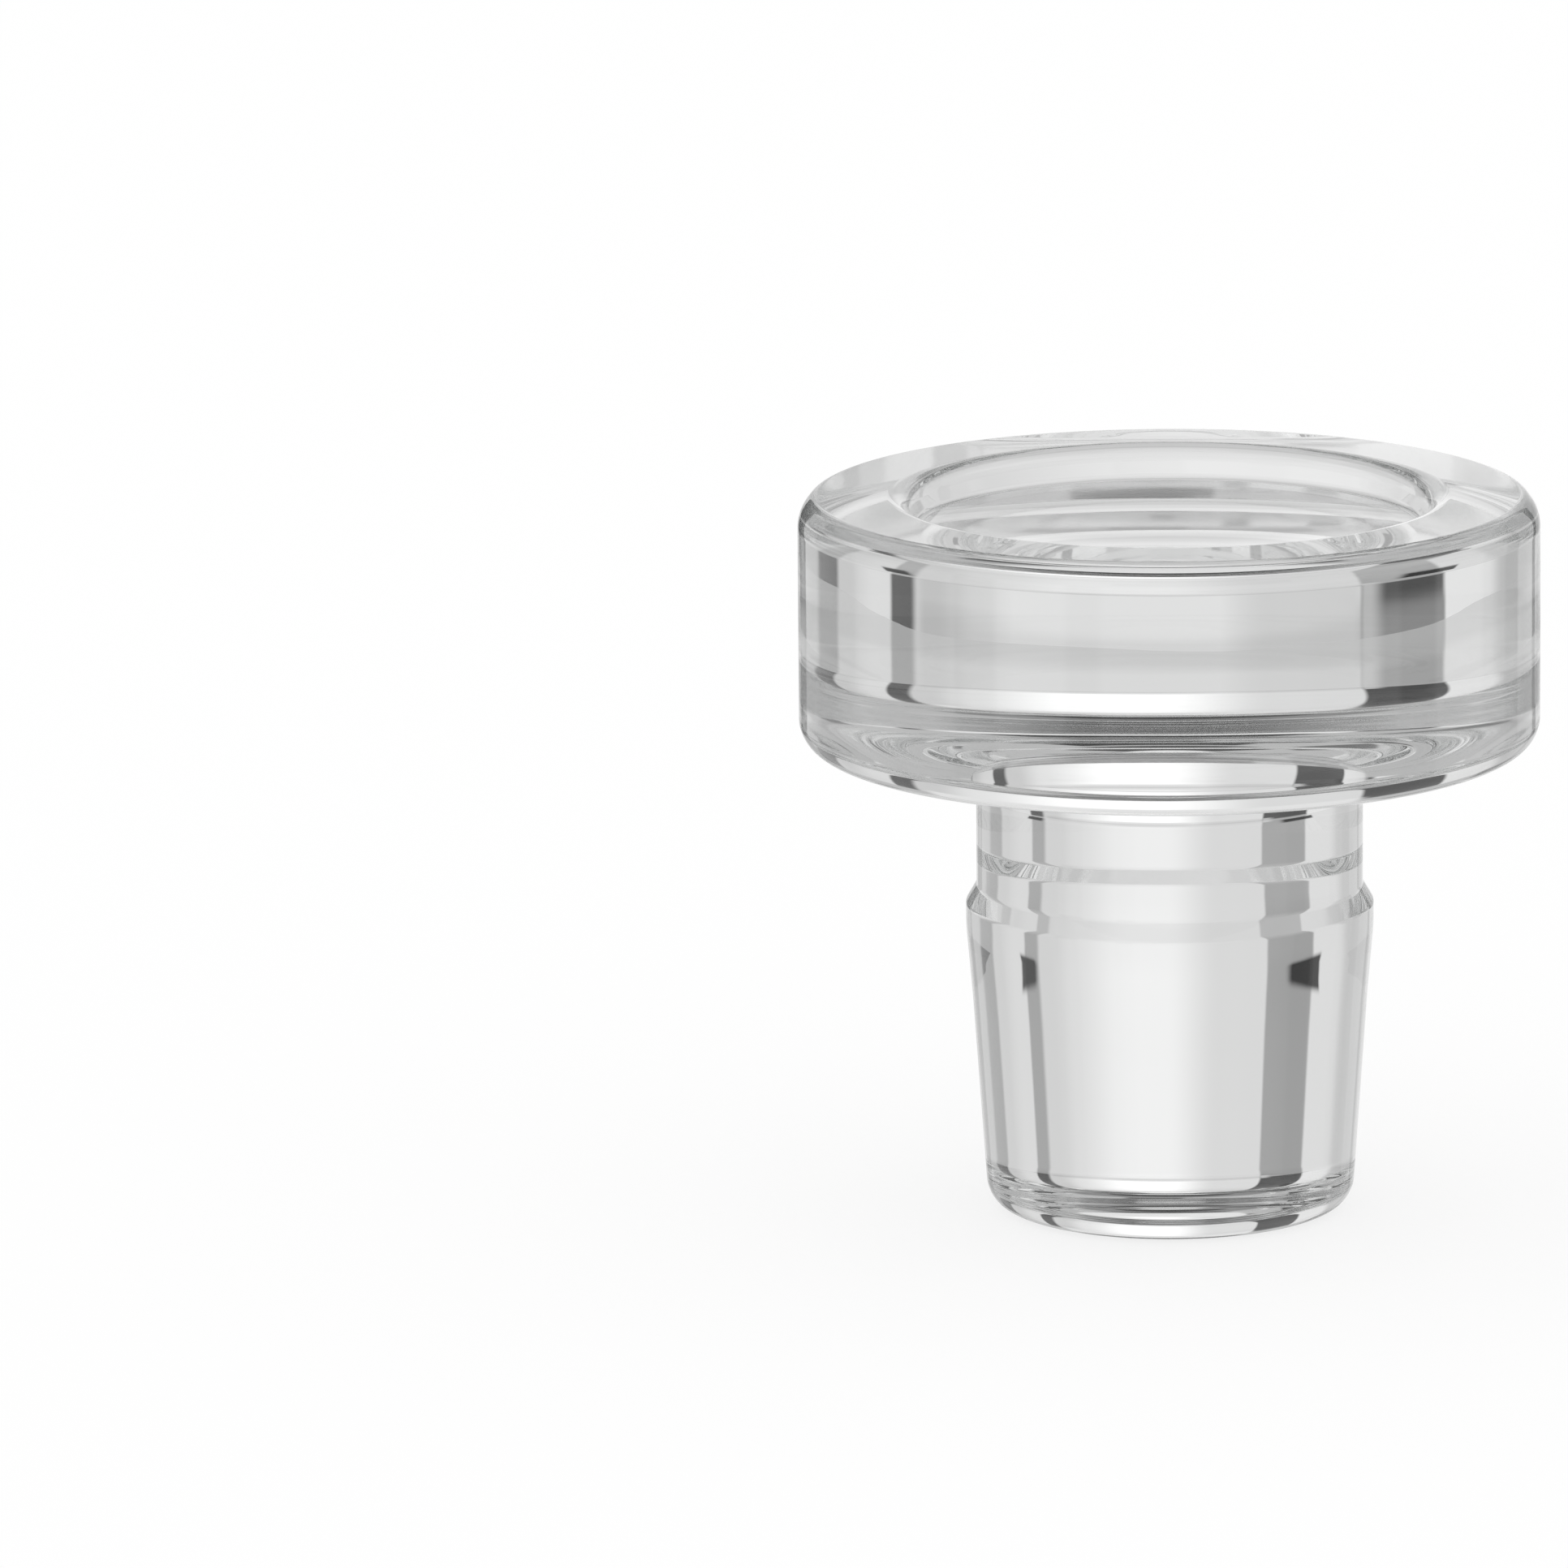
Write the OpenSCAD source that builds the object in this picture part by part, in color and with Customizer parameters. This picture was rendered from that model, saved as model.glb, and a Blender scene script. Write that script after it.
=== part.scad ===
// Bottle stopper pressed in one piece of clear glass.
// One lathe profile is turned about Z: a thick disc head with a shallow dish in its top,
// a short straight neck, a small sloped shoulder, and a tapered plug that seats in the bottle.
// Millimetres. The origin is the middle of the plug's flat end, and Z runs up through the head.

/* [Head] */
// Diameter of the head
head_d = 40; // [36:0.5:60]
// Thickness of the head, from its flat underside to its top rim
head_h = 13.85; // [8:0.05:24]
// Radius of the head's upper outer edge
head_top_round = 1.85; // [0.4:0.05:3.4]
// Radius of the head's lower outer edge
head_low_round = 1.65; // [0.4:0.05:3.4]

/* [Dish in the head] */
// Diameter of the dish at its mouth, before the lip is rounded
dish_mouth_d = 28.4; // [27.6:0.2:31]
// Diameter of the dish at the foot of its wall
dish_floor_d = 27.2; // [20:0.2:28]
// Depth of the dish at the foot of its wall
dish_depth = 1.75; // [1:0.05:4]
// How much deeper the hollow floor lies in the middle than at the foot of the wall
dish_sag = 0.95; // [0.2:0.05:2]
// Radius of the edge where the rim turns down into the dish
dish_lip_round = 1.4; // [0.1:0.05:2]
// Radius of the hollow corner between the dish's wall and its floor
dish_foot_round = 0.5; // [0.1:0.05:1.2]

/* [Neck] */
// Diameter of the neck
neck_d = 20.9; // [16:0.1:22]
// Length of the neck, from the head's underside to the shoulder
neck_h = 7.5; // [4:0.05:15]
// Radius of the hollow corner where the neck meets the head
neck_root_round = 2.8; // [0.4:0.1:3.2]
// Height of the sloped shoulder between the neck and the plug
shoulder_h = 1; // [0.6:0.05:3]

/* [Plug] */
// Diameter of the plug at its large end, under the shoulder
plug_top_d = 22.2; // [18:0.1:26]
// Diameter that the taper reaches at the plug's flat end
plug_end_d = 19.9; // [15:0.1:22]
// Length of the tapered plug
plug_h = 16.85; // [8:0.05:30]
// Radius of the edge at the plug's end
plug_end_round = 1.6; // [0.4:0.1:3]
// Radius of the crest where the plug meets the shoulder
plug_top_round = 0.4; // [0.1:0.1:0.8]

/* [Hidden] */

$fn = 128;
// Largest turn, in degrees, between two neighbouring points of a rounded corner
ARC_STEP = 6;
// Fewest turns that a rounded corner is made of
ARC_TURNS = 4;
// Radius of the flat spot in the middle of the dish's floor
FLAT_SPOT = 0.5;

shoulder_z = plug_h;
neck_z = shoulder_z + shoulder_h;
head_z = neck_z + neck_h;
top_z = head_z + head_h;
floor_z = top_z - dish_depth;
bowl_z = floor_z - dish_sag;

// The floor's hollow is one big rounded corner. Its sides are the slope that leaves the foot of
// the wall and the level of the flat spot, and they meet at bowl_corner from the axis.
bowl_corner = (dish_floor_d / 2 - dish_foot_round) / 2;
bowl_slope = atan(dish_sag / (dish_floor_d / 2 - bowl_corner));
bowl_round = (bowl_corner - FLAT_SPOT) / tan(bowl_slope / 2);

// The corners from the plug's flat end, up the outside, over the rim and down into the dish.
// Each row is a corner's radius from the axis, its height and the radius that rounds it.
CORNERS = [
    [0, 0, 0],
    [plug_end_d / 2, 0, plug_end_round],
    [plug_top_d / 2, shoulder_z, plug_top_round],
    [neck_d / 2, neck_z, 0],
    [neck_d / 2, head_z, neck_root_round],
    [head_d / 2, head_z, head_low_round],
    [head_d / 2, top_z, head_top_round],
    [dish_mouth_d / 2, top_z, dish_lip_round],
    [dish_floor_d / 2, floor_z, dish_foot_round],
    [bowl_corner, bowl_z, bowl_round],
    [0, bowl_z, 0]
];

// Place of a corner, without the radius that rounds it
function place(i) = [CORNERS[i][0], CORNERS[i][1]];

// Vector v at a length of 1
function unit(v) = v / norm(v);

// Vector v turned by an angle, counted the way X turns to Y
function turned(v, angle) = [
    v[0] * cos(angle) - v[1] * sin(angle),
    v[0] * sin(angle) + v[1] * cos(angle)
];

// Signed angle through which the outline turns from side p to side q, above 0 to the left
function bend(p, q) = atan2(cross(p, q), p * q);

// Points of the arc of radius r that joins side p to side q at the corner b, tangent to both.
// The arc starts r * tan(angle / 2) before the corner and turns about a centre on its inner side.
function arc(b, p, q, r) =
    let (angle = bend(p, q))
    let (start = b - p * r * tan(abs(angle) / 2))
    let (spoke = turned(p, angle > 0 ? -90 : 90) * r)
    let (steps = max(ARC_TURNS, ceil(abs(angle) / ARC_STEP)))
    [for (k = [0 : steps]) start - spoke + turned(spoke, angle * k / steps)];

// Points of one corner of the outline, sharp or rounded
function corner(i) =
    CORNERS[i][2] == 0
    ? [place(i)]
    : arc(place(i), unit(place(i) - place(i - 1)), unit(place(i + 1) - place(i)), CORNERS[i][2]);

// Half of the stopper's section, on the side where X is above 0
module section() {
    polygon([for (i = [0 : len(CORNERS) - 1]) each corner(i)]);
}

// The whole stopper
module stopper() {
    color([0.86, 0.9, 0.89, 0.45]) rotate_extrude() section();
}

stopper();
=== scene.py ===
import math

import bpy
import numpy as np
from bpy.props import FloatProperty, FloatVectorProperty, IntProperty, PointerProperty
from mathutils import Matrix, Vector


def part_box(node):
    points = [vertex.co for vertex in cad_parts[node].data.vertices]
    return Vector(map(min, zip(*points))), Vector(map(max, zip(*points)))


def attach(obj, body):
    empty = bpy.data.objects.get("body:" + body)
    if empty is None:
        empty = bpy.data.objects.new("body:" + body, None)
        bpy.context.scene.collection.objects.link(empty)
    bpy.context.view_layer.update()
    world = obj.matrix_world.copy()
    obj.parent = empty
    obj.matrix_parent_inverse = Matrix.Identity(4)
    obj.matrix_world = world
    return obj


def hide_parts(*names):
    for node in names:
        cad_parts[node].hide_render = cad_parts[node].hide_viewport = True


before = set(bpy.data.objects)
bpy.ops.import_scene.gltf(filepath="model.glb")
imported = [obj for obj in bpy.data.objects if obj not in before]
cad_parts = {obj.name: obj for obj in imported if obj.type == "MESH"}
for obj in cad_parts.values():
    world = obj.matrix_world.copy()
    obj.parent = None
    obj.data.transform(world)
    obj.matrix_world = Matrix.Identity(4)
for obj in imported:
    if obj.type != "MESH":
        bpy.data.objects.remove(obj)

bl_info = {
    "name": "Glass Stopper",
    "version": (1, 0, 0),
    "blender": (4, 5, 0),
    "location": "View3D > Sidebar > Stopper",
    "description": "Builds a pressed glass bottle stopper and the light tent it stands in",
    "category": "Add Mesh",
}

LOW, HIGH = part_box("stopper")
# Height of the stopper and diameter of its head, as the frame has them
TALL = HIGH[2] - LOW[2]
HEAD_D = HIGH[0] - LOW[0]
WHITE = (1.0, 1.0, 1.0, 1.0)


class StopperSizes(bpy.types.PropertyGroup):
    """Sizes of the stopper, in metres."""

    height: FloatProperty(
        name="Height", description="From the plug's flat end to the rim",
        default=TALL, min=0.02, unit="LENGTH")
    head_d: FloatProperty(
        name="Head diameter", description="Diameter of the disc head",
        default=HEAD_D, min=0.02, unit="LENGTH")
    head_h: FloatProperty(
        name="Head thickness", description="From the head's underside to its rim",
        default=0.01385, min=0.005, unit="LENGTH")
    rim_edge_d: FloatProperty(
        name="Rim edge diameter", description="Diameter of the rim's outer edge",
        default=0.0384, min=0.02, unit="LENGTH")
    rim_edge_round: FloatProperty(
        name="Rim edge radius", description="Radius of the rim's outer edge",
        default=0.0007, min=0.0001, unit="LENGTH")
    rim_fall: FloatProperty(
        name="Rim fall", description="How far below the rim its worn slope meets the wall",
        default=0.001, min=0.0002, unit="LENGTH")
    head_top_round: FloatProperty(
        name="Upper edge radius", description="Radius between the rim's slope and the wall",
        default=0.002, min=0.0002, unit="LENGTH")
    head_low_round: FloatProperty(
        name="Lower edge radius", description="Radius of the head's lower outer edge",
        default=0.00165, min=0.0002, unit="LENGTH")
    dish_mouth_d: FloatProperty(
        name="Dish mouth", description="Diameter of the dish at its mouth",
        default=0.0284, min=0.01, unit="LENGTH")
    dish_floor_d: FloatProperty(
        name="Dish floor", description="Diameter of the dish at the foot of its wall",
        default=0.0272, min=0.01, unit="LENGTH")
    dish_depth: FloatProperty(
        name="Dish depth", description="Depth of the dish at the foot of its wall",
        default=0.00175, min=0.0002, unit="LENGTH")
    dish_sag: FloatProperty(
        name="Dish sag", description="How much deeper the floor lies in the middle",
        default=0.00095, min=0.0001, unit="LENGTH")
    dish_lip_round: FloatProperty(
        name="Dish lip radius", description="Radius of the edge into the dish",
        default=0.0014, min=0.0001, unit="LENGTH")
    dish_foot_round: FloatProperty(
        name="Dish foot radius", description="Radius of the hollow corner in the dish",
        default=0.0005, min=0.0001, unit="LENGTH")
    neck_d: FloatProperty(
        name="Neck diameter", description="Diameter of the neck",
        default=0.0209, min=0.01, unit="LENGTH")
    neck_root_round: FloatProperty(
        name="Neck root radius", description="Radius where the neck meets the head",
        default=0.0028, min=0.0001, unit="LENGTH")
    under_rise: FloatProperty(
        name="Underside rise", description="How much the head's underside rises to the neck",
        default=0.0004, min=0.0, unit="LENGTH")
    shoulder_h: FloatProperty(
        name="Shoulder height", description="Height of the slope between neck and plug",
        default=0.001, min=0.0002, unit="LENGTH")
    shoulder_foot_round: FloatProperty(
        name="Shoulder foot radius", description="Radius of the hollow corner above the shoulder",
        default=0.0005, min=0.0001, unit="LENGTH")
    plug_top_d: FloatProperty(
        name="Plug top diameter", description="Diameter of the plug under the shoulder",
        default=0.02206, min=0.01, unit="LENGTH")
    plug_mid_d: FloatProperty(
        name="Plug middle diameter", description="Diameter of the plug where its taper steepens",
        default=0.02136, min=0.01, unit="LENGTH")
    plug_end_d: FloatProperty(
        name="Plug end diameter", description="Diameter of the plug at its flat end",
        default=0.01974, min=0.01, unit="LENGTH")
    plug_h: FloatProperty(
        name="Plug length", description="Length of the tapered plug",
        default=0.01685, min=0.005, unit="LENGTH")
    plug_mid_at: FloatProperty(
        name="Plug middle place", description="Share of the plug's length under the steeper taper",
        default=0.69, min=0.3, max=0.85, subtype="FACTOR")
    plug_mid_round: FloatProperty(
        name="Plug middle radius", description="Radius of the soft bend where the taper steepens",
        default=0.06, min=0.001, unit="LENGTH")
    plug_band_at: FloatProperty(
        name="Plug band place", description="Share of the plug's length under its straight band",
        default=0.925, min=0.87, max=0.97, subtype="FACTOR")
    plug_band_round: FloatProperty(
        name="Plug band radius", description="Radius of the soft bend under the straight band",
        default=0.012, min=0.001, unit="LENGTH")
    plug_end_round: FloatProperty(
        name="Plug end radius", description="Radius of the edge at the plug's end",
        default=0.0016, min=0.0002, unit="LENGTH")
    plug_top_round: FloatProperty(
        name="Plug crest radius", description="Radius where the plug meets the shoulder",
        default=0.0004, min=0.0001, unit="LENGTH")
    turns: IntProperty(
        name="Turns", description="Meridians in a full turn", default=256, min=24)
    step: FloatProperty(
        name="Profile step", description="Usual step along the straight parts of the profile",
        default=0.0005, min=0.0001, unit="LENGTH")


class StopperFinish(bpy.types.PropertyGroup):
    """Finish of the glass."""

    clear: FloatVectorProperty(
        name="Clear glass", description="Colour of the clearest glass",
        default=(1.0, 1.0, 1.0), size=3, min=0.0, max=1.0, subtype="COLOR")
    cast: FloatVectorProperty(
        name="Glass cast", description="Colour of the slightly greyer streaks",
        default=(0.985, 0.988, 0.985), size=3, min=0.0, max=1.0, subtype="COLOR")
    body_tint: FloatVectorProperty(
        name="Body tint", description="Colour that thick glass turns light to",
        default=(0.69, 0.705, 0.70), size=3, min=0.0, max=1.0, subtype="COLOR")
    body_density: FloatProperty(
        name="Body density", description="How fast the glass takes up light along its depth",
        default=5.0, min=0.0)
    ior: FloatProperty(
        name="Index of refraction", description="Index of the pressed glass",
        default=1.52, min=1.3, max=1.8)
    floor_haze: FloatProperty(
        name="Dish haze", description="Roughness of the pressed floor of the dish",
        default=0.03, min=0.0, max=1.0, subtype="FACTOR")
    under_haze: FloatProperty(
        name="Underside haze", description="Roughness of the head's underside",
        default=0.1, min=0.0, max=1.0, subtype="FACTOR")
    wave_depth: FloatProperty(
        name="Wave depth", description="Depth of the fire-polished waviness",
        default=0.00003, min=0.0, unit="LENGTH")


class StopperStage(bpy.types.PropertyGroup):
    """Floor, light tent and camera."""

    floor_radius: FloatProperty(
        name="Floor radius", description="Radius of the round floor",
        default=3.0, min=0.5, unit="LENGTH")
    floor_drop: FloatProperty(
        name="Floor drop", description="How far the floor lies under the plug's flat end",
        default=0.00005, min=0.00001, unit="LENGTH")
    floor_white: FloatVectorProperty(
        name="Floor white", description="Colour of the floor",
        default=(0.99, 0.99, 0.99), size=3, min=0.0, max=1.0, subtype="COLOR")
    floor_shade: FloatProperty(
        name="Floor shade", description="How much of the stopper's shadow the floor keeps",
        default=0.2, min=0.0, max=1.0, subtype="FACTOR")
    floor_glow: FloatProperty(
        name="Floor glow", description="How bright glass sees the floor itself",
        default=0.68, min=0.0, max=1.0, subtype="FACTOR")
    floor_sheen: FloatProperty(
        name="Floor sheen", description="Share of the tent that the floor mirrors at a low angle",
        default=0.62, min=0.0, max=1.0, subtype="FACTOR")
    tent_radius: FloatProperty(
        name="Tent radius", description="Radius of the light tent",
        default=0.165, min=0.08, unit="LENGTH")
    distance: FloatProperty(
        name="Camera distance", description="From the lens to the stopper's middle",
        default=0.85, min=0.2, unit="LENGTH")
    elevation: FloatProperty(
        name="Camera elevation", description="Angle of the camera above the horizon",
        default=math.radians(12.2), subtype="ANGLE")


# ---------------------------------------------------------------- shapes

# Largest turn between two neighbouring points of a rounded corner, and the fewest such points
ARC_STEP = math.radians(3)
ARC_POINTS = 5
# Radius of the flat spot in the middle of the dish's floor
FLAT_SPOT = 0.00005
# Points of the section that lie closer together than this are taken as one
SAME_POINT = 1e-8
# Sides of the round floor, meridians of the tent and points of its quarter circle
FLOOR_SIDES = 96
TENT_TURNS = 128
TENT_POINTS = 46


def unit(v):
    """The vector at a length of 1."""
    return v / np.hypot(*v)


def rounded(before, corner, after, radius):
    """Points and outward normals of one rounded corner: the arc of that radius which touches
    both sides, at equal steps of its turn. It starts radius * tan(turn / 2) before the corner,
    and each point is the arc's middle plus a spoke that turns from the first side to the second.
    """
    p, q = unit(corner - before), unit(after - corner)
    turn = math.atan2(p[0] * q[1] - p[1] * q[0], p @ q)
    side = 1.0 if turn > 0 else -1.0
    start = corner - p * radius * math.tan(abs(turn) / 2)
    middle = start + side * radius * np.array([-p[1], p[0]])
    a = np.linspace(0, turn, max(ARC_POINTS, math.ceil(abs(turn) / ARC_STEP) + 1))
    spin = np.stack([np.cos(a), -np.sin(a), np.sin(a), np.cos(a)], 1).reshape(-1, 2, 2)
    spokes = spin @ (start - middle)
    along = spin @ p
    return middle + spokes, np.stack([along[:, 1], -along[:, 0]], 1)


def section_corners(s):
    """Corners of the stopper's section, from the middle of the plug's flat end up the outside and
    over the rim to the middle of the dish. Each row is a distance from the axis, a height and the
    radius that rounds the corner. The dish's floor is one big rounded corner: its radius is the
    run from that corner to the flat spot over the tangent of half its slope."""
    shoulder = s.plug_h
    neck = shoulder + s.shoulder_h
    head = s.height - s.head_h
    floor = s.height - s.dish_depth
    bowl = floor - s.dish_sag
    bend = (s.dish_floor_d / 2 - s.dish_foot_round) / 2
    slope = math.atan(s.dish_sag / (s.dish_floor_d / 2 - bend))
    return np.array([
        [0, 0, 0],
        [s.plug_end_d / 2, 0, s.plug_end_round],
        [s.plug_mid_d / 2, s.plug_h * s.plug_mid_at, s.plug_mid_round],
        [s.plug_top_d / 2, s.plug_h * s.plug_band_at, s.plug_band_round],
        [s.plug_top_d / 2, shoulder, s.plug_top_round],
        [s.neck_d / 2, neck, s.shoulder_foot_round],
        [s.neck_d / 2, head + s.under_rise, s.neck_root_round],
        [s.head_d / 2, head, s.head_low_round],
        [s.head_d / 2, s.height - s.rim_fall, s.head_top_round],
        [s.rim_edge_d / 2, s.height, s.rim_edge_round],
        [s.dish_mouth_d / 2, s.height, s.dish_lip_round],
        [s.dish_floor_d / 2, floor, s.dish_foot_round],
        [bend, bowl, (bend - FLAT_SPOT) / math.tan(slope / 2)],
        [0, bowl, 0],
    ])


def profile(s):
    """Radius, height and normal along the stopper's section. The section is an arc at each corner
    and straight between them. Every stretch between two of its points is cut into equal steps by
    arc length, where a place and its normal are in proportion to the way gone."""
    rows = section_corners(s)
    at, radii = rows[:, :2], rows[:, 2]
    arcs = [rounded(*at[i - 1:i + 2], radii[i]) for i in range(1, len(rows) - 1)]
    points = np.concatenate([at[:1]] + [a[0] for a in arcs] + [at[-1:]])
    normals = np.concatenate([[[0, -1]]] + [a[1] for a in arcs] + [[[0, 1]]])
    run = np.concatenate([[0], np.cumsum(np.hypot(*np.diff(points, axis=0).T))])
    keep = np.concatenate([[True], np.diff(run) > SAME_POINT])
    run, points, normals = run[keep], points[keep], normals[keep]
    # The number of steps in each stretch, and for every step its stretch and its count in it
    length = np.diff(run)
    cuts = np.round(length / s.step).astype(int).clip(1)
    first = np.repeat(np.arange(len(cuts)), cuts)
    count = np.arange(len(first)) - np.repeat(np.cumsum(cuts) - cuts, cuts)
    fine = np.append(run[first] + length[first] * count / cuts[first], run[-1])
    columns = [np.interp(fine, run, c) for c in (*points.T, *normals.T)]
    return np.stack(columns, 1)


def grid_faces(rings, turns):
    """Corner numbers of a closed surface of revolution with one vertex at each pole: a fan, rows
    of four-sided faces, and a fan."""
    j = np.arange(turns)
    k = (j + 1) % turns
    low = 1 + turns * np.arange(rings - 1)[:, None]
    rows = np.stack([low + j, low + k, low + turns + k, low + turns + j], -1).reshape(-1, 4)
    last = 1 + turns * (rings - 1)
    first_fan = np.stack([np.zeros_like(j), 1 + k, 1 + j], 1)
    last_fan = np.stack([last + j, last + k, np.full_like(j, last + turns)], 1)
    return [*first_fan.tolist(), *rows.tolist(), *last_fan.tolist()]


def circle(turns):
    """Points round a circle of radius 1: x = cos t and y = sin t, at equal steps of t."""
    t = 2 * math.pi * np.arange(turns) / turns
    return np.stack([np.cos(t), np.sin(t)], 1)


def piece_of(name, places, faces):
    """New object of one mesh, which stands where its places say."""
    mesh = bpy.data.meshes.new(name)
    mesh.from_pydata(places.tolist(), [], faces)
    mesh.validate()
    piece = bpy.data.objects.new(name, mesh)
    bpy.context.scene.collection.objects.link(piece)
    return piece


def revolved(name, section, turns, normals=None):
    """Section turned about Z: x = r cos t, y = r sin t, z = h, with r and h along the section and
    t round the axis. The section starts and ends on the axis. With normals, their radial part
    turns with t in the same way."""
    ring = np.append(circle(turns), np.ones((turns, 1)), axis=1)

    def spun(rows):
        """One place at each end of the rows, and a ring for every row between."""
        inner = rows[1:-1, None, [0, 0, 1]] * ring[None]
        ends = np.zeros((2, 3))
        ends[:, 2] = rows[[0, -1], 1]
        return np.concatenate([ends[:1], inner.reshape(-1, 3), ends[1:]])

    piece = piece_of(name, spun(section), grid_faces(len(section) - 2, turns))
    mesh = piece.data
    mesh.polygons.foreach_set("use_smooth", np.ones(len(mesh.polygons), bool))
    if normals is not None:
        n = spun(normals)
        n /= np.linalg.norm(n, axis=1)[:, None]
        mesh.normals_split_custom_set_from_vertices(n.tolist())
    mesh.update()
    return piece


def flat_floor(st):
    """Round floor just under the stopper: one flat face with its rim at x = r cos t and
    y = r sin t."""
    rim = circle(FLOOR_SIDES) * st.floor_radius
    places = np.append(rim, np.full((FLOOR_SIDES, 1), -st.floor_drop), axis=1)
    return piece_of("floor", places, [list(range(FLOOR_SIDES))])


def light_tent(st):
    """Dome that the camera sees only by way of the glass: a quarter circle turned about Z, closed
    by a flat disc under the floor."""
    a = np.linspace(0, math.pi / 2, TENT_POINTS)
    arc = st.tent_radius * np.stack([np.cos(a), np.sin(a)], 1)
    under = -2 * st.floor_drop
    section = np.concatenate([[[0, under], [st.tent_radius, under]], arc])
    section[-1, 0] = 0
    tent = revolved("light_tent", section, TENT_TURNS)
    tent.visible_camera = False
    tent.visible_diffuse = False
    tent.visible_shadow = False
    return tent


# ---------------------------------------------------------------- nodes


class Nodes:
    """A material's node tree, with short ways to add and join nodes."""

    def __init__(self, name):
        self.material = bpy.data.materials.new(name)
        self.material.use_nodes = True
        self.tree = self.material.node_tree
        self.tree.nodes.clear()

    def feed(self, node, inputs):
        """Links or sets inputs of a node, each under its number or name."""
        for key, value in inputs.items():
            if isinstance(value, bpy.types.NodeSocket):
                self.tree.links.new(value, node.inputs[key])
            elif value is not None:
                node.inputs[key].default_value = value

    def add(self, kind, *inputs, **settings):
        """New node with these settings and with its first inputs in their order."""
        node = self.tree.nodes.new(kind)
        for key, value in settings.items():
            setattr(node, key, value)
        self.feed(node, dict(enumerate(inputs)))
        return node

    def math(self, operation, *values):
        """Result of one Math node."""
        return self.add("ShaderNodeMath", *values, operation=operation).outputs[0]

    def times(self, value, *others):
        """All the values multiplied."""
        for other in others:
            value = self.math("MULTIPLY", value, other)
        return value

    def rise(self, value, edge, width, below=0.0, above=1.0):
        """0 below the edge and 1 above it, with a smooth change as wide as width."""
        return self.add("ShaderNodeMapRange", value, edge - width / 2, edge + width / 2, below,
                        above, interpolation_type="SMOOTHSTEP").outputs[0]

    def fall(self, value, edge, width):
        """1 below the edge and 0 above it, with a smooth change as wide as width."""
        return self.rise(value, edge, width, 1.0, 0.0)

    def band(self, value, low, low_width, high, high_width):
        """1 between the two edges and 0 outside them."""
        return self.times(self.rise(value, low, low_width), self.fall(value, high, high_width))

    def blend(self, share, a, b):
        """a where share is 0 and b where it is 1."""
        return self.add("ShaderNodeMix", share, None, a, b, data_type="FLOAT").outputs[0]

    def levels(self, value, level, edges):
        """A level that changes at each edge: rows of edge, width of the change, level after."""
        for edge, width, after in edges:
            level = self.blend(self.rise(value, edge, width), level, after)
        return level

    def patches(self, level, up, around, rows):
        """level with patches laid on it in order: rows of range up, range round and level."""
        for upright, wide, after in rows:
            inside = self.times(self.band(up, *upright), self.band(around, *wide))
            level = self.blend(inside, level, after)
        return level

    def place(self):
        """Object coordinates."""
        return self.add("ShaderNodeTexCoord").outputs["Object"]

    def apart(self, place):
        """x, y and z of a place."""
        return self.add("ShaderNodeSeparateXYZ", place).outputs

    def around(self, x, y):
        """Angle round Z in degrees: 0 at the back, where y is above 0, and plus to the right."""
        return self.math("DEGREES", self.math("ARCTAN2", x, y))

    def from_axis(self, x, y):
        """Distance from Z."""
        flat = self.add("ShaderNodeCombineXYZ", x, y).outputs[0]
        return self.add("ShaderNodeVectorMath", flat, operation="LENGTH").outputs["Value"]

    def noise(self, place, scale, detail):
        """Soft noise between 0 and 1, with scale in cells to a metre along X, Y and Z."""
        drawn = self.add("ShaderNodeMapping", place)
        self.feed(drawn, {"Scale": scale})
        return self.add("ShaderNodeTexNoise", drawn.outputs[0], None, 1.0, detail).outputs["Fac"]

    def glow(self, level):
        """White light of that level."""
        return self.add("ShaderNodeEmission", WHITE, level).outputs[0]

    def mix(self, share, a, b):
        """Shader a where share is 0 and shader b where it is 1."""
        return self.add("ShaderNodeMixShader", share, a, b).outputs[0]

    def finish(self, surface, volume=None):
        """The material, with its shaders joined up. What glows isn't sampled as a lamp."""
        out = self.add("ShaderNodeOutputMaterial")
        self.feed(out, {"Surface": surface, "Volume": volume})
        self.material.cycles.emission_sampling = "NONE"
        return self.material


# ---------------------------------------------------------------- glass

# Waves and streaks in the glass: cells to a metre along X, Y and Z, and levels of detail
WAVES = ((30.0, 30.0, 170.0), 2.0)
STREAKS = ((60.0, 60.0, 420.0), 3.0)
# Edges of the haze: each is a distance and the width of its soft change
DISH_HAZE_INSET = (0.001, 0.0006)  # inside the foot of the dish's wall
DISH_HAZE_DROP = (0.001, 0.001)  # under the middle of the dish's floor
UNDER_HAZE_REACH = (0.00085, 0.0005)  # above and below the foot of the head's wall
UNDER_HAZE_OUTSET = (0.00135, 0.0008)  # outside the neck


def dish_haze(n, out, z, s):
    """1 on the dish's floor and 0 elsewhere."""
    inset, inset_width = DISH_HAZE_INSET
    drop, drop_width = DISH_HAZE_DROP
    middle = s.height - s.dish_depth - s.dish_sag
    return n.times(n.fall(out, s.dish_floor_d / 2 - inset, inset_width),
                   n.rise(z, middle - drop, drop_width))


def under_haze(n, out, z, s):
    """1 on the head's underside and 0 elsewhere."""
    reach, reach_width = UNDER_HAZE_REACH
    outset, outset_width = UNDER_HAZE_OUTSET
    underside = s.height - s.head_h
    return n.times(n.band(z, underside - reach, reach_width, underside + reach, reach_width),
                   n.rise(out, s.neck_d / 2 + outset, outset_width))


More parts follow.
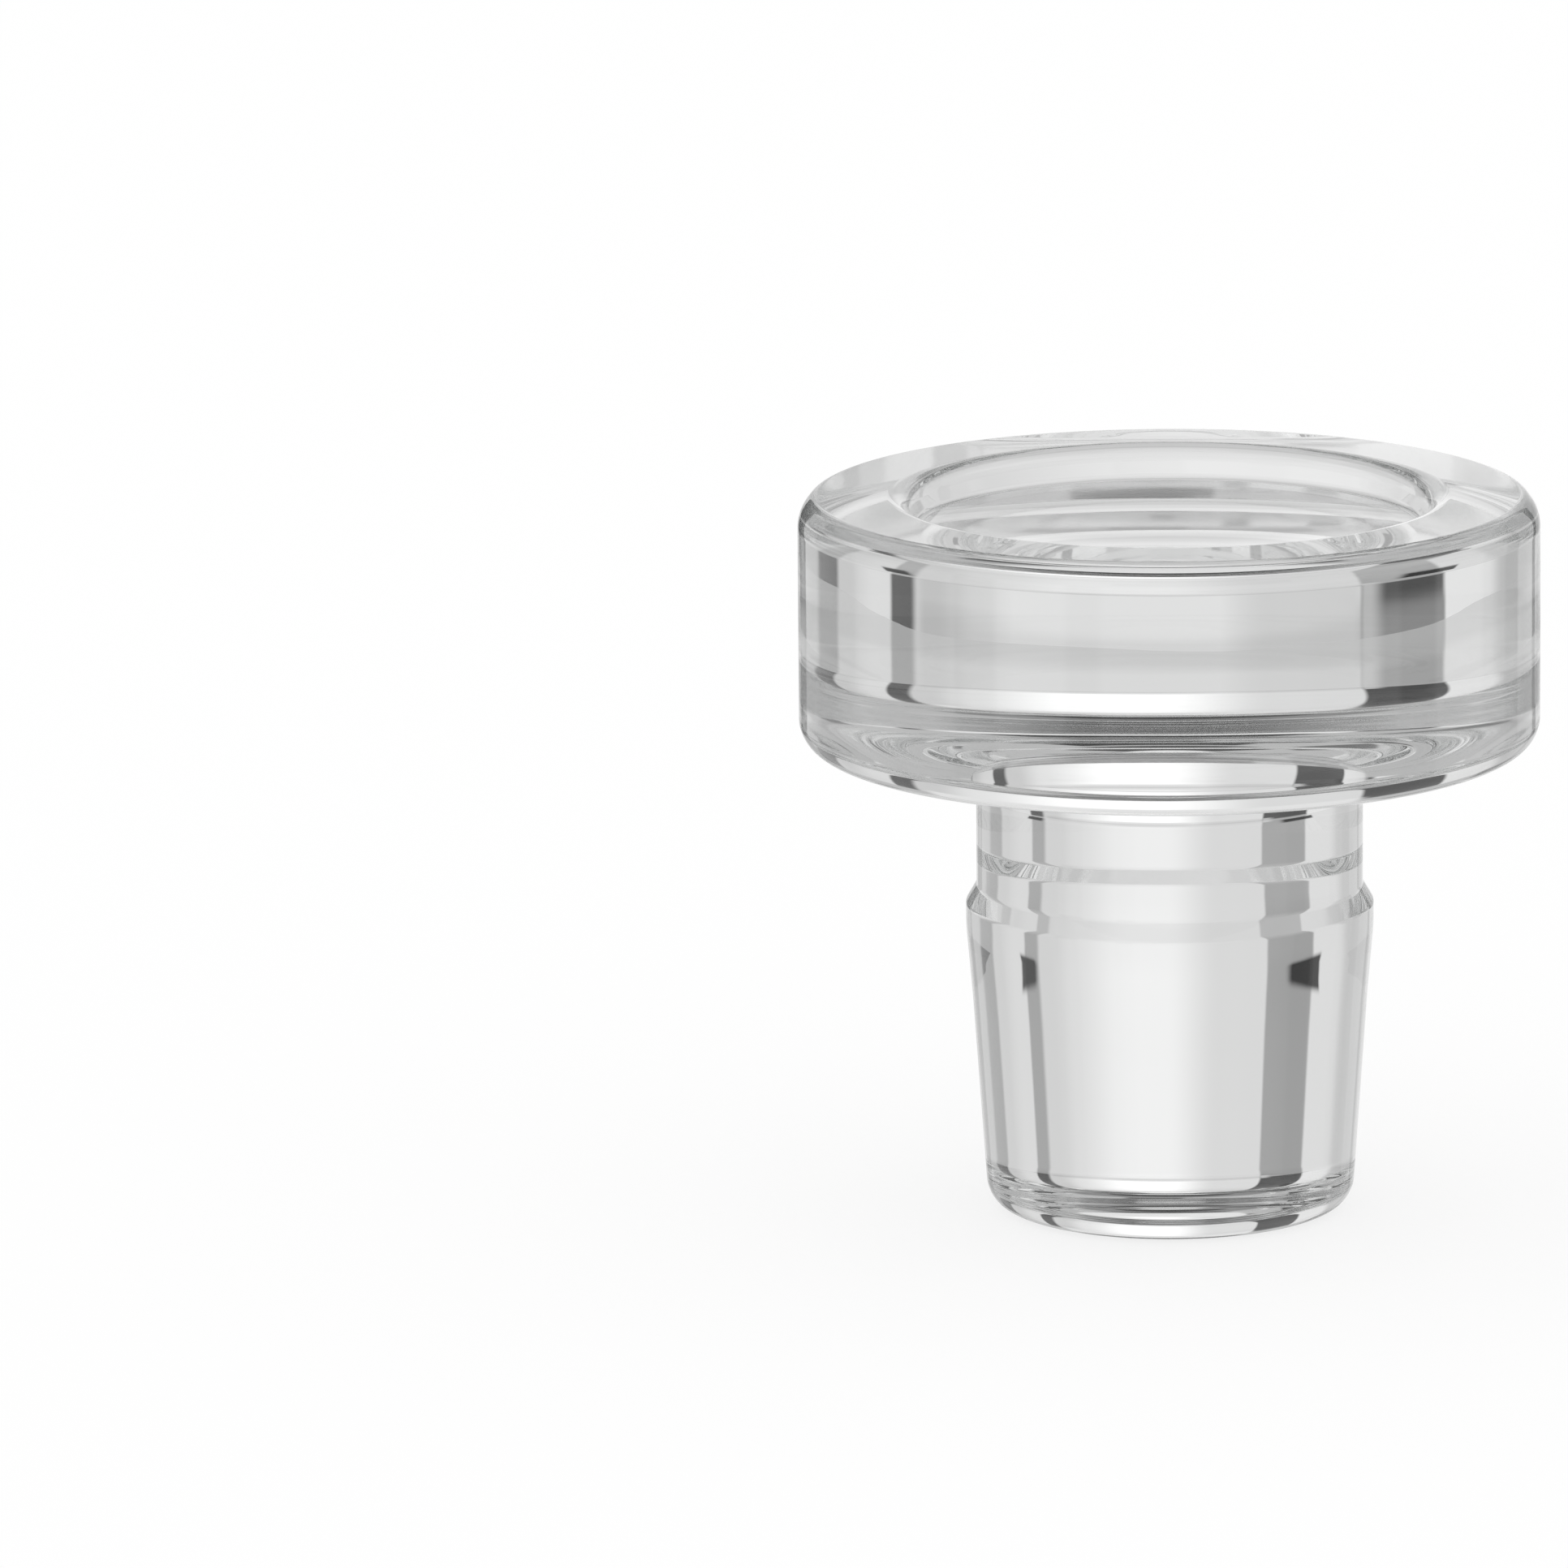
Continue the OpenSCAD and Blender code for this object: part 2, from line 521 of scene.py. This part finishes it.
def clear_glass(f, s):
    """Fire-polished pressed glass: smooth, with slow waves drawn round its surface, faint streaks,
    and a slight haze on the dish's floor and on the head's underside."""
    n = Nodes("clear_glass")
    place = n.place()
    x, y, z = n.apart(place)
    out = n.from_axis(x, y)
    haze = n.math("ADD", n.times(dish_haze(n, out, z, s), f.floor_haze),
                  n.times(under_haze(n, out, z, s), f.under_haze))
    bump = n.add("ShaderNodeBump", 1.0, f.wave_depth)
    n.feed(bump, {"Height": n.noise(place, *WAVES)})
    tint = n.add("ShaderNodeMixRGB", n.noise(place, *STREAKS), (*f.clear, 1.0), (*f.cast, 1.0))
    glass = n.add("ShaderNodeBsdfPrincipled")
    n.feed(glass, {
        "Base Color": tint.outputs[0],
        "Roughness": haze,
        "IOR": f.ior,
        "Normal": bump.outputs[0],
        "Transmission Weight": 1.0,
    })
    depth = n.add("ShaderNodeVolumeAbsorption", (*f.body_tint, 1.0), f.body_density)
    return n.finish(glass.outputs[0], depth.outputs[0])


# ---------------------------------------------------------------- light tent

# Places on the tent are angles in degrees, as seen from the floor's middle: round from the back
# with plus to the right, and up from the floor. A level is how bright the cloth is, where 1 is
# white, and only the middle of the back wall goes past it. An edge is its place and the width of
# its soft change. A range is a low and a high edge.

# Level of the walls behind the camera, and then each upright edge and the level after it, going
# round from behind the camera by the left, the back and the right
WALLS_START = 0.7
WALLS = [
    (-160, 4, 0.2),  # dark strip
    (-150, 4, 0.8),
    (-128, 3, 0.15),  # dark strip
    (-114, 3, 0.9),
    (-72, 4, 0.55),
    (-46, 6, 0.84),
    (-31.8, 1.2, 0.07),  # left post
    (-18.8, 0.8, 0.75),  # back wall, brightest in its middle
    (-4, 10, 1.16),
    (13, 12, 0.82),
    (21.5, 6, 0.62),
    (28, 1.5, 0.07),  # right post
    (32.5, 1, 0.74),
    (40, 8, 0.60),
    (48, 2, 0.11),  # dark strip
    (58, 3, 0.45),
    (72, 4, 0.85),
    (94, 3, 0.15),  # dark strip
    (108, 3, 0.6),
    (138, 8, 0.8),
    (165, 8, WALLS_START),
]
# Strip along the foot of all walls: its upper edge and its highest level
FOOT_EDGE = (1.5, 0.8)
FOOT_MOST = 0.93
# What the back wall loses there: its range round, and rows of upper edge and share lost
BACK_WALL = (-19, 3, 27, 2)
BACK_LOSSES = [(FOOT_EDGE, 0.13), ((0.35, 0.4), 0.1)]
# Paler foot and corner of the left post: upper edge, range round and level
POST_FOOT = [
    ((0.5, 0.7), (-32, 1, -19, 3), 0.26),
    (FOOT_EDGE, (-21, 2.5, -18.8, 0.8), 0.5),
]
# Roof: its lower edge and its level
ROOF_EDGE = (29, 3)
ROOF = 0.5
# Patches on the roof over the back wall and the left: range up, range round and level
OVER_BACK = (-19, 3, 26, 3)
BACK_PATCHES = [
    ((24, 3, 35.5, 1.5), OVER_BACK, 0.84),  # bright panel under the lintel
    ((28, 6, 58, 4), (-62, 3, -43, 3), 0.14),  # dark panel on the left
    ((62, 3, 78, 3), (-50, 8, 50, 8), 0.05),  # dark strip high over the back
]
# Dark lintel: its lower edge, what that edge rises by times the angle round squared, its upper
# edge and its level
LINTEL_LOW = (35.5, 2)
LINTEL_ARCH = 0.01
LINTEL_HIGH = (58, 3)
LINTEL = 0.02
# Patches in front, with the range round counted from this place
FRONT = 170.0
FRONT_PATCHES = [
    ((31.2, 0.8, 37.5, 2), (-27, 2, 27, 2), 0.02),  # dark opening
    ((37, 2, 56, 4), (-18, 6, 18, 6), 0.06),  # nearly dark cloth above it
]
# Darker roof all round but the back, outside this edge to both sides: lower edge and level
SIDES_EDGE = (82, 6)
SIDES = [((58, 6), 0.24), ((71, 3), 0.04)]
# Bright crown of the roof at the back: its lower edge and its level
CROWN_EDGE = (79, 3)
CROWN = 0.95


def wall_level(n, up, around):
    """Level of the walls: upright panels and posts, dimmer along their foot."""
    level = n.levels(around, WALLS_START, WALLS)
    level = n.blend(n.rise(up, *FOOT_EDGE), n.math("MINIMUM", level, FOOT_MOST), level)
    lost = n.math("ADD", *(n.times(n.fall(up, *edge), share) for edge, share in BACK_LOSSES))
    lost = n.times(lost, n.band(around, *BACK_WALL))
    level = n.times(level, n.math("SUBTRACT", 1.0, lost))
    for edge, wide, after in POST_FOOT:
        level = n.blend(n.times(n.fall(up, *edge), n.band(around, *wide)), level, after)
    return level


def roof_level(n, level, up, around):
    """level of the walls with the roof, its panels, the lintel and the front opening over it."""
    level = n.blend(n.rise(up, *ROOF_EDGE), level, ROOF)
    level = n.patches(level, up, around, BACK_PATCHES)
    arched = n.math("SUBTRACT", up, n.times(LINTEL_ARCH, n.times(around, around)))
    lintel = n.times(n.rise(arched, *LINTEL_LOW), n.fall(up, *LINTEL_HIGH),
                     n.band(around, *OVER_BACK))
    level = n.blend(lintel, level, LINTEL)
    ahead = n.math("WRAP", n.math("SUBTRACT", around, FRONT), 180.0, -180.0)
    level = n.patches(level, up, ahead, FRONT_PATCHES)
    aside = n.math("ABSOLUTE", around)
    for edge, after in SIDES:
        level = n.blend(n.times(n.rise(up, *edge), n.rise(aside, *SIDES_EDGE)), level, after)
    crown = n.times(n.rise(up, *CROWN_EDGE), n.fall(aside, *SIDES_EDGE))
    return n.blend(crown, level, CROWN)


def tent_cloth(st):
    """White tent cloth that glows by itself: bright panels behind the stopper, dimmer at their
    foot, with a dark post on each side and a dark lintel over them. Dark strips part the panels
    on both sides, the roof is grey with dark patches and a bright crown, and in front is a dark
    opening with nearly dark cloth above it."""
    n = Nodes("tent_cloth")
    x, y, z = n.apart(n.place())
    around = n.around(x, y)
    up = n.math("DEGREES", n.math("ARCSINE", n.math("DIVIDE", z, st.tent_radius)))
    level = roof_level(n, wall_level(n, up, around), up, around)
    return n.finish(n.glow(level))


# ---------------------------------------------------------------- floor

# Spot of painted shade on the floor in front of each post: the range of both in distance from the
# axis, the range of each round it, and the glow and the sheen inside them
SHADE_SPOT_RING = (0.110, 0.014, 0.142, 0.003)
SHADE_SPOTS = [(-33.5, 1, -23, 3), (27.5, 2, 33, 1)]
SHADE_SPOT_GLOW = 0.02
SHADE_SPOT_SHEEN = 0.03
# Dimmer rim in front of the tent's walls: its inner edge and the share of light that it loses
RIM_EDGE = (0.1585, 0.004)
RIM_LOSS = 0.15


def floor_sheet(st):
    """Smooth white floor, matt to the eye. Rays that have met glass see it glow by itself, darker,
    and with a sheen: at a low angle it mirrors the tent, it has a spot of painted shade in front
    of each post, and it is a little dimmer along the tent's walls."""
    n = Nodes("floor_sheet")
    x, y, _ = n.apart(n.place())
    around = n.around(x, y)
    out = n.from_axis(x, y)
    # Painted shade: dark spots on the floor in front of the posts, which only rays that met glass
    # see
    painted_shade = n.math("ADD", *(n.band(around, *wide) for wide in SHADE_SPOTS))
    painted_shade = n.times(painted_shade, n.band(out, *SHADE_SPOT_RING))
    kept = n.math("SUBTRACT", 1.0, n.times(RIM_LOSS, n.rise(out, *RIM_EDGE)))
    glow = n.glow(n.times(kept, n.blend(painted_shade, st.floor_glow, SHADE_SPOT_GLOW)))
    low_angle = n.add("ShaderNodeLayerWeight", 0.5).outputs["Facing"]
    sheen = n.times(low_angle, kept, n.blend(painted_shade, st.floor_sheen, SHADE_SPOT_SHEEN))
    mirror = n.add("ShaderNodeBsdfGlossy", WHITE, 0.0).outputs[0]
    matt = n.add("ShaderNodeBsdfDiffuse", (*st.floor_white, 1.0)).outputs[0]
    to_the_eye = n.mix(st.floor_shade, n.glow(1.0), matt)
    path = n.add("ShaderNodeLightPath").outputs
    met_glass = n.math("MAXIMUM", path["Is Glossy Ray"], path["Is Transmission Ray"])
    return n.finish(n.mix(met_glass, to_the_eye, n.mix(sheen, glow, mirror)))


# ---------------------------------------------------------------- world and camera

# Side of the square image in pixels, and pixels to a metre at the stopper's middle
IMAGE_SIDE = 1932
PIXELS_PER_METRE = 22770.0
# Width of the camera's sensor in millimetres, as Blender counts it
SENSOR_WIDTH = 36.0
# How the camera is turned from facing along Y, in degrees: to the right, up, and then with its
# right side up
YAW, PITCH, ROLL = -1.437, -11.953, -0.45
# Furthest distance that the camera sees
FAR_CLIP = 20.0
# Bounces that light may make in the glass
BOUNCES = 32


def surroundings(scene):
    """Plain white world."""
    world = bpy.data.worlds.new("surroundings")
    scene.world = world
    world.use_nodes = True
    background = world.node_tree.nodes["Background"]
    background.inputs["Color"].default_value = WHITE
    background.inputs["Strength"].default_value = 1.0


def camera(scene, st):
    """Camera in front of the stopper, at its distance and elevation from the stopper's middle. It
    faces to the left of it, so that the middle falls on pixel (1441, 1047) of the image."""
    data = bpy.data.cameras.new("camera")
    data.sensor_width = SENSOR_WIDTH
    data.lens = PIXELS_PER_METRE * st.distance / IMAGE_SIDE * SENSOR_WIDTH
    data.clip_end = FAR_CLIP
    eye = Vector((0, -math.cos(st.elevation) * st.distance,
                  math.sin(st.elevation) * st.distance + TALL / 2))
    yaw, pitch, roll = map(math.radians, (YAW, PITCH, ROLL))
    ahead = Vector((math.sin(yaw) * math.cos(pitch), math.cos(yaw) * math.cos(pitch),
                    math.sin(pitch)))
    level = Vector((math.cos(yaw), -math.sin(yaw), 0))
    up = level.cross(ahead)
    right = level * math.cos(roll) + up * math.sin(roll)
    top = up * math.cos(roll) - level * math.sin(roll)
    rig = bpy.data.objects.new("camera", data)
    scene.collection.objects.link(rig)
    rows = [(right[i], top[i], -ahead[i], eye[i]) for i in range(3)]
    rig.matrix_world = Matrix(rows + [(0, 0, 0, 1)])
    scene.camera = rig


# ---------------------------------------------------------------- operators


class STOPPER_OT_body(bpy.types.Operator):
    """Builds the stopper as one smooth solid of glass"""

    bl_idname = "stopper.body"
    bl_label = "Stopper"

    def execute(self, context):
        s = context.scene.stopper_sizes
        rows = profile(s)
        piece = revolved("stopper_glass", rows[:, :2], s.turns, rows[:, 2:])
        piece.data.materials.append(clear_glass(context.scene.stopper_finish, s))
        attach(piece, "root")
        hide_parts("stopper")
        return {"FINISHED"}


class STOPPER_OT_stage(bpy.types.Operator):
    """Builds the floor, the light tent, the white surroundings and the camera"""

    bl_idname = "stopper.stage"
    bl_label = "Stage"

    def execute(self, context):
        st = context.scene.stopper_stage
        floor = flat_floor(st)
        floor.data.materials.append(floor_sheet(st))
        tent = light_tent(st)
        tent.data.materials.append(tent_cloth(st))
        surroundings(context.scene)
        camera(context.scene, st)
        return {"FINISHED"}


class STOPPER_PT_panel(bpy.types.Panel):
    """Lists the stopper's operators and its sizes, finish and stage"""

    bl_idname = "STOPPER_PT_panel"
    bl_label = "Glass Stopper"
    bl_space_type = "VIEW_3D"
    bl_region_type = "UI"
    bl_category = "Stopper"

    def draw(self, context):
        for operator in OPERATORS:
            self.layout.operator(operator.bl_idname)
        for group in GROUPS:
            values = getattr(context.scene, group)
            box = self.layout.box()
            for name in values.__annotations__:
                box.prop(values, name)


OPERATORS = (STOPPER_OT_body, STOPPER_OT_stage)
GROUPS = {
    "stopper_sizes": StopperSizes,
    "stopper_finish": StopperFinish,
    "stopper_stage": StopperStage,
}
CLASSES = (*GROUPS.values(), *OPERATORS, STOPPER_PT_panel)


def register():
    for cls in CLASSES:
        bpy.utils.register_class(cls)
    for name, group in GROUPS.items():
        setattr(bpy.types.Scene, name, PointerProperty(type=group))


def unregister():
    for name in GROUPS:
        delattr(bpy.types.Scene, name)
    for cls in reversed(CLASSES):
        bpy.utils.unregister_class(cls)


def main():
    """Builds everything."""
    register()
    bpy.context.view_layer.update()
    bpy.ops.stopper.body()
    bpy.ops.stopper.stage()
    scene = bpy.context.scene
    scene.view_settings.view_transform = "Standard"
    scene.cycles.max_bounces = BOUNCES
    scene.cycles.glossy_bounces = BOUNCES
    scene.cycles.transmission_bounces = BOUNCES


if __name__ == "__main__":
    main()
